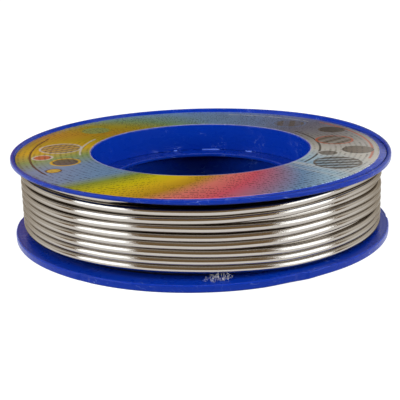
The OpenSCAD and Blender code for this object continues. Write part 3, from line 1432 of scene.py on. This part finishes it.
@dataclass
class SpoolHalves:
    """The two moulded halves, and the flash where they meet, pale blue as a painted highlight.

    The upper rim cooled unevenly: it stands a little higher on one side than on the other.
    The lower flange's edge is bent up a little at the front right.
    """

    bore_mm: float = 23.3
    edge_mm: float = 40.0
    rim_inner_mm: float = 39.15
    top_mm: float = 17.5
    upper_face_mm: float = 16.95
    upper_under_mm: float = 16.35
    lower_face_mm: float = 0.55
    lower_over_mm: float = 1.5
    plug_mm: float = 24.2
    socket_mm: float = 24.25
    hub_mm: float = 25.15
    socket_top_mm: float = 16.05
    web_top_mm: float = 10.9
    web_under_mm: float = 10.1
    web_hole_mm: float = 19.4
    snap_mm: float = 0.25
    snap_up_mm: float = 2.0
    joint_gap_mm: float = 0.05
    rim_round_mm: float = 0.26
    steps: int = 720
    warp_stations_deg: tuple[float, ...] = (-180, -120, -70, -35, 0, 20, 70, 120, 180)
    rim_lift_mm: tuple[float, ...] = (0.28, 0.26, 0.12, -0.14, -0.37, -0.42, -0.5, 0.17, 0.28)
    under_lift_mm: tuple[float, ...] = (0.22, 0.15, 0.42, 0.3, -0.1, -0.15, -0.42, -0.05, 0.22)
    bend_stations_deg: tuple[float, ...] = (-180, -60, -42, -20, 0, 15, 23, 28, 33, 42, 52, 80, 180)
    bend_mm: tuple[float, ...] = (0, 0, 0.07, 0, 0.04, 0.12, 0.31, 0.2, 0.28, 0.2, 0.12, 0, 0)
    bend_from_mm: float = 36.0
    notch_at_deg: float = 26.5
    notch_count: int = 6
    notch_wide_mm: float = 2.7
    notch_deep_mm: float = 0.25
    notch_soft_mm: float = 0.35
    notch_rim_mm: float = 0.6
    rim_depth_mm: float = 0.3
    rim_blend_mm: float = 0.15
    under_from_mm: float = 30.0
    root_mm: float = 0.05
    flash_mm: float = 0.16
    flashes_deg: tuple[tuple[float, float], ...] = ((169.0, 10.0), (148.5, 4.0), (-166.0, 2.0))

    def _upper_section(self) -> list[tuple[float, float]]:
        """Section of the upper half: flange, rim and the plug with its snap bead."""
        snap = self.web_top_mm + self.snap_up_mm
        foot = self.web_top_mm + self.joint_gap_mm
        return rounded_section(
            [
                (self.bore_mm, self.upper_face_mm, 0.15),
                (self.rim_inner_mm, self.upper_face_mm, 0.1),
                (self.rim_inner_mm, self.top_mm, self.rim_round_mm),
                (self.edge_mm, self.top_mm, self.rim_round_mm),
                (self.edge_mm, self.upper_under_mm, 0.2),
                (self.plug_mm, self.upper_under_mm, 0.1),
                (self.plug_mm, snap + self.snap_mm, 0.0),
                (self.plug_mm + self.snap_mm, snap, 0.0),
                (self.plug_mm, snap - self.snap_mm, 0.0),
                (self.plug_mm, foot, 0.05),
                (self.bore_mm, foot, 0.05),
            ]
        )

    def _lower_section(self) -> list[tuple[float, float]]:
        """Section of the lower half: flange, rim, socket and the stop web."""
        snap = self.web_top_mm + self.snap_up_mm
        return rounded_section(
            [
                (self.bore_mm, self.lower_face_mm, 0.15),
                (self.rim_inner_mm, self.lower_face_mm, 0.1),
                (self.rim_inner_mm, 0.0, self.rim_round_mm),
                (self.edge_mm, 0.0, self.rim_round_mm),
                (self.edge_mm, self.lower_over_mm, self.rim_round_mm),
                (self.hub_mm, self.lower_over_mm, 0.1),
                (self.hub_mm, self.socket_top_mm, 0.05),
                (self.socket_mm, self.socket_top_mm, 0.05),
                (self.socket_mm, snap + self.snap_mm, 0.0),
                (self.socket_mm + self.snap_mm, snap, 0.0),
                (self.socket_mm, snap - self.snap_mm, 0.0),
                (self.socket_mm, self.web_top_mm, 0.0),
                (self.web_hole_mm, self.web_top_mm, 0.22),
                (self.web_hole_mm, self.web_under_mm, 0.22),
                (self.bore_mm, self.web_under_mm, 0.05),
            ]
        )

    def _warp_rim(self, reach: float, height: float, front_deg: float) -> tuple[float, float]:
        """Lift or sink the upper rim and the flange's underside near it.

        Args:
            reach: distance from the axis.
            height: height over the foot.
            front_deg: angle round the axis.

        Returns:
            The new distance and height.
        """
        if height > self.upper_face_mm - self.rim_depth_mm:
            start, lifts = self.rim_inner_mm - self.rim_blend_mm, self.rim_lift_mm
        else:
            start, lifts = self.under_from_mm, self.under_lift_mm
        share = ease(reach, start, self.rim_inner_mm)
        return reach, height + share * smooth_between(self.warp_stations_deg, lifts, front_deg)

    def _notch_edge(self, reach: float, height: float, front_deg: float) -> tuple[float, float]:
        """Bend the lower flange's edge and press the shallow notches into it.

        Args:
            reach: distance from the axis.
            height: height over the foot.
            front_deg: angle round the axis.

        Returns:
            The new distance and height.
        """
        share = ease(reach, self.bend_from_mm, self.rim_inner_mm)
        bend = smooth_between(self.bend_stations_deg, self.bend_mm, front_deg)
        height += share * max(bend, 0.0)
        if reach < self.edge_mm - self.notch_rim_mm:
            return reach, height
        spacing = 360 / self.notch_count
        off_deg = (front_deg - self.notch_at_deg) % spacing
        off_mm = math.radians(min(off_deg, spacing - off_deg)) * self.edge_mm
        half = self.notch_wide_mm / 2
        share = 1 - ease(off_mm, half - self.notch_soft_mm, half)
        return min(reach, self.edge_mm - self.notch_deep_mm * share), height

    def _add_flashes(self) -> None:
        """Add the slivers of flash at the plug's foot, in a pale blue that paints their highlight."""
        # pale blue of the slivers: a painted highlight
        pale = MouldedPolystyrene(
            name="painted_highlight_blue_polystyrene",
            body_hex="#4A70E0",
            flow_hex="#7F9CEC",
        ).build()
        inner, root, low = self.bore_mm - self.flash_mm, self.bore_mm + self.root_mm, self.web_top_mm
        section = [
            (root, low),
            (inner, low),
            (inner + self.flash_mm * 0.4, low + self.flash_mm * 0.8),
            (root, low + self.flash_mm * 1.2),
        ]
        for number, (start, length) in enumerate(self.flashes_deg, 1):
            steps = max(int(length * 2), 4)
            sliver = lathe(f"joint_flash_highlight_{number}", section, steps, start_deg=start, sweep_deg=length)
            add_piece(sliver, pale)

    def build(self) -> None:
        """Mould both halves and put them in place of their plain solids."""
        plastic = MouldedPolystyrene().build()
        upper = lathe("moulded_upper_half", self._upper_section(), self.steps)
        reshape(upper, self._warp_rim)
        add_piece(upper, plastic, Node.UPPER_HALF)
        lower = lathe("moulded_lower_half", self._lower_section(), self.steps)
        reshape(lower, self._notch_edge)
        add_piece(lower, plastic, Node.LOWER_HALF)
        self._add_flashes()


@dataclass
class FootShavings:
    """A tuft of fine shavings that the wire has left on the lower flange, at its foot."""

    front_deg: float = 3.8
    spread_deg: float = 4.7
    reach_mm: float = 38.5
    foot_mm: float = 1.54
    rise_mm: float = 1.5
    hair_mm: float = 0.034
    hairs: int = 52
    points: int = 9
    seed: int = 7
    longest_deg: float = 1.5
    lengths: tuple[float, ...] = (0.3, 0.6, 1.2)
    curl: tuple[float, float] = (1.5, 5.5)
    lift_mm: float = 0.7
    tall: tuple[float, float] = (0.1, 0.55)
    taper: float = 0.55
    sway_mm: float = 0.3
    sway_rate: float = 0.6

    def _hair(self, source: random.Random) -> list[Vector]:
        """Draw one curled hair.

        Args:
            source: the random source.

        Returns:
            Its centre points in metres.
        """
        side = source.triangular(-1, 1, 0.1)
        start_deg = self.front_deg + side * self.spread_deg
        run_deg = source.uniform(-self.longest_deg, self.longest_deg) * source.choice(self.lengths)
        swirl = source.uniform(0, 2 * math.pi)
        curl = source.uniform(*self.curl)
        low = source.uniform(0.0, self.lift_mm)
        tall = self.rise_mm * (1 - self.taper * abs(side)) * source.uniform(*self.tall)
        line: list[Vector] = []
        for step in range(self.points):
            share = step / (self.points - 1)
            turn = math.radians(start_deg + run_deg * share)
            reach = self.reach_mm + self.sway_mm * math.sin(swirl + self.sway_rate * curl * share)
            height = self.foot_mm + low + tall * (1 + math.sin(swirl * 2 + curl * share))
            line.append(MM * Vector((reach * math.sin(turn), -reach * math.cos(turn), height)))
        return line

    def build(self) -> None:
        """Build the tuft as one mesh."""
        source = random.Random(self.seed)
        lines = [self._hair(source) for _ in range(self.hairs)]
        mesh = sweep("foot_shavings", lines, self.hair_mm / 2 * MM, 1)
        add_piece(mesh, SolderShavings().build())


@dataclass(frozen=True)
class Softbox:
    """One soft rectangular light, turned to the spool.

    Attributes:
        name: the light's name.
        front_deg: where it stands round the spool.
        raise_deg: how high its middle stands over the floor, seen from the spool.
        away_m: its distance.
        width_m: its width.
        height_m: its height.
        radiance: brightness of its face.
        mirrored: whether the wire mirrors it.
        upright: whether its face stands upright.
        lean_deg: how far it leans in its own plane, counterclockwise from behind.
        shines: whether it also lights dull surfaces.
        tint_hex: its tint.
    """

    name: str
    front_deg: float
    raise_deg: float
    away_m: float
    width_m: float
    height_m: float
    radiance: float
    mirrored: bool = True
    upright: bool = False
    lean_deg: float = 0.0
    shines: bool = True
    tint_hex: str = "#FFFFFF"

    def build(self) -> None:
        """Hang the light."""
        light = bpy.data.lights.new(self.name, "AREA")
        light.shape = "RECTANGLE"
        light.size = self.width_m
        light.size_y = self.height_m
        light.energy = self.radiance * math.pi * self.width_m * self.height_m
        light.color = linear(self.tint_hex)[:3]
        lamp = bpy.data.objects.new(self.name, light)
        turn, lift = math.radians(self.front_deg), math.radians(self.raise_deg)
        place = self.away_m * Vector(
            (math.cos(lift) * math.sin(turn), -math.cos(lift) * math.cos(turn), math.sin(lift))
        )
        away = Vector((place.x, place.y, 0.0)) if self.upright else place
        facing = away.to_track_quat("Z", "Y").to_matrix().to_4x4()
        lean = Matrix.Rotation(math.radians(self.lean_deg), 4, "Z")
        lamp.matrix_world = Matrix.Translation(place) @ facing @ lean
        lamp.visible_camera = False
        lamp.visible_glossy = self.mirrored
        lamp.visible_diffuse = self.shines
        bpy.context.scene.collection.objects.link(lamp)


@dataclass(frozen=True)
class Doorway:
    """One opening or dark cupboard in the room's pale walls.

    Attributes:
        front_deg: where its middle stands round the spool.
        reach_deg: how far it reaches to both sides.
        soft_deg: how soft its sides are.
        top_deg: how high it reaches over the horizon.
        tone_hex: its colour.
    """

    front_deg: float
    reach_deg: float
    soft_deg: float
    top_deg: float
    tone_hex: str


@dataclass
class Studio:
    """Pale floor, soft lights, the room round them and the camera.

    The room is dark in front of the spool, where the viewer stands, and pale at the
    sides and the back. The wire mirrors it.
    """

    floor_m: float = 12.0
    front_hex: str = "#8E7553"
    side_hex: str = "#F2EEE6"
    ceiling_hex: str = "#CBC9C6"
    doorways: tuple[Doorway, ...] = (
        Doorway(180.0, 10.5, 1.5, 90.0, "#33261D"),
        Doorway(-165.0, 6.0, 2.0, 18.0, "#B5683C"),
    )
    side_from_deg: float = 90.0
    side_to_deg: float = 106.0
    ceiling_from_deg: float = 60.0
    ceiling_to_deg: float = 74.0
    camera_place_m: tuple[float, float, float] = (0.0, -0.186755, 0.061361)
    camera_pitch_deg: float = -16.726
    camera_yaw_deg: float = 0.117
    camera_roll_deg: float = -1.449
    lens_mm: float = 80.6
    sensor_mm: float = 36.0
    softboxes: tuple[Softbox, ...] = (
        Softbox(
            "softbox_left", -66.5, 31.0, 0.75, 0.43, 0.82, 2.9,
            upright=True, lean_deg=16.0, tint_hex="#ECF6FF",
        ),
        Softbox(
            "softbox_right", 70.0, 31.0, 0.75, 0.4, 0.82, 2.9,
            upright=True, lean_deg=-18.0, tint_hex="#ECF6FF",
        ),
        Softbox("softbox_over", 180.0, 88.0, 0.95, 0.5, 0.5, 5.0, shines=False),
        Softbox("front_key", 0.0, 60.0, 1.1, 0.6, 0.6, 3.4, mirrored=False),
        Softbox("fill_left", -60.0, 14.0, 1.1, 0.7, 0.4, 7.2, mirrored=False),
        Softbox("fill_right", 60.0, 14.0, 1.1, 0.7, 0.4, 7.2, mirrored=False),
    )

    def _build_floor(self) -> None:
        """Lay the floor."""
        work = bmesh.new()
        bmesh.ops.create_grid(work, x_segments=1, y_segments=1, size=self.floor_m / 2)
        mesh = bpy.data.meshes.new("studio_floor")
        work.to_mesh(mesh)
        work.free()
        floor = link_mesh(mesh, LitFloor().build())
        floor.visible_diffuse = False

    def _open_doorway(self, tree: Tree, way: Source, walls: Source, doorway: Doorway) -> Source:
        """Set one doorway in the room's walls.

        Args:
            tree: the world's tree.
            way: the direction one looks in.
            walls: the walls' colour so far.
            doorway: the doorway.

        Returns:
            The colour socket with the doorway in it.
        """
        level = add_node(tree, "VectorMath", {0: way, 1: (1, 1, 0)}, operation="MULTIPLY")
        unit = add_node(tree, "VectorMath", {0: level}, operation="NORMALIZE")
        turn = math.radians(doorway.front_deg)
        facing = add_node(
            tree, "VectorMath",
            {0: unit, 1: (math.sin(turn), -math.cos(turn), 0.0)},
            operation="DOT_PRODUCT",
        )
        near = add_node(
            tree, "MapRange",
            {"From Min": math.cos(math.radians(doorway.reach_deg + doorway.soft_deg)),
             "From Max": math.cos(math.radians(doorway.reach_deg - doorway.soft_deg)),
             "Value": facing},
            interpolation_type="SMOOTHSTEP",
        )
        up = add_node(tree, "SeparateXYZ", {0: way})
        below_top = add_node(
            tree, "Math",
            {0: up.outputs["Z"], 1: math.sin(math.radians(doorway.top_deg))},
            operation="LESS_THAN",
        )
        share = add_node(tree, "Math", {0: near, 1: below_top}, operation="MULTIPLY")
        return add_node(
            tree, "Mix", {0: share, 6: walls, 7: linear(doorway.tone_hex)}, data_type="RGBA"
        )

    def _build_room(self) -> None:
        """Tone the room by the direction one looks in."""
        world = bpy.data.worlds.new("studio_room")
        bpy.context.scene.world = world
        world.cycles_visibility.diffuse = False
        world.use_nodes = True
        tree = world.node_tree
        tree.nodes.clear()
        way = add_node(tree, "TexCoord")
        axes = add_node(tree, "SeparateXYZ", {0: way.outputs["Generated"]})
        sideways = add_node(tree, "Math", {0: axes.outputs["X"]}, operation="ABSOLUTE")
        towards_front = add_node(tree, "Math", {0: axes.outputs["Y"], 1: -1.0}, operation="MULTIPLY")
        off_front = add_node(tree, "Math", {0: sideways, 1: towards_front}, operation="ARCTAN2")
        side_share = add_node(
            tree, "MapRange",
            {"From Min": math.radians(self.side_from_deg), "From Max": math.radians(self.side_to_deg),
             "Value": off_front},
            interpolation_type="SMOOTHSTEP",
        )
        ceiling_share = add_node(
            tree, "MapRange",
            {"From Min": math.sin(math.radians(self.ceiling_from_deg)),
             "From Max": math.sin(math.radians(self.ceiling_to_deg)), "Value": axes.outputs["Z"]},
            interpolation_type="SMOOTHSTEP",
        )
        walls = add_node(
            tree, "Mix",
            {0: side_share, 6: linear(self.front_hex), 7: linear(self.side_hex)},
            data_type="RGBA",
        )
        colour = walls
        for doorway in self.doorways:
            colour = self._open_doorway(tree, way.outputs["Generated"], colour, doorway)
        room = add_node(
            tree, "Mix", {0: ceiling_share, 6: colour, 7: linear(self.ceiling_hex)}, data_type="RGBA"
        )
        glow = add_node(tree, "Background", {"Color": room})
        add_node(tree, "OutputWorld", {"Surface": glow})

    def _build_camera(self) -> None:
        """Stand the camera in front of the spool, looking a little down on it."""
        data = bpy.data.cameras.new("studio_camera")
        data.sensor_width = self.sensor_mm
        data.lens = self.lens_mm
        data.clip_start = 0.005
        camera = bpy.data.objects.new("studio_camera", data)
        camera.matrix_world = (
            Matrix.Translation(self.camera_place_m)
            @ Matrix.Rotation(math.radians(self.camera_yaw_deg), 4, "Z")
            @ Matrix.Rotation(math.radians(90 + self.camera_pitch_deg), 4, "X")
            @ Matrix.Rotation(math.radians(self.camera_roll_deg), 4, "Z")
        )
        bpy.context.scene.collection.objects.link(camera)
        bpy.context.scene.camera = camera

    def build(self) -> None:
        """Build the whole studio."""
        self._build_floor()
        for softbox in self.softboxes:
            softbox.build()
        self._build_room()
        self._build_camera()
        bpy.context.scene.view_settings.view_transform = "Standard"
        log.info("studio: floor, %d softboxes, room, camera", len(self.softboxes))


def main() -> None:
    """Build the spool piece by piece, then the studio round it."""
    logging.basicConfig(level=logging.INFO, format="%(name)s: %(message)s")
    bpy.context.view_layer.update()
    Studio().build()
    SpoolHalves().build()
    FlangeLabel().build()
    SolderWinding().build()
    FootShavings().build()


if __name__ == "__main__":
    main()
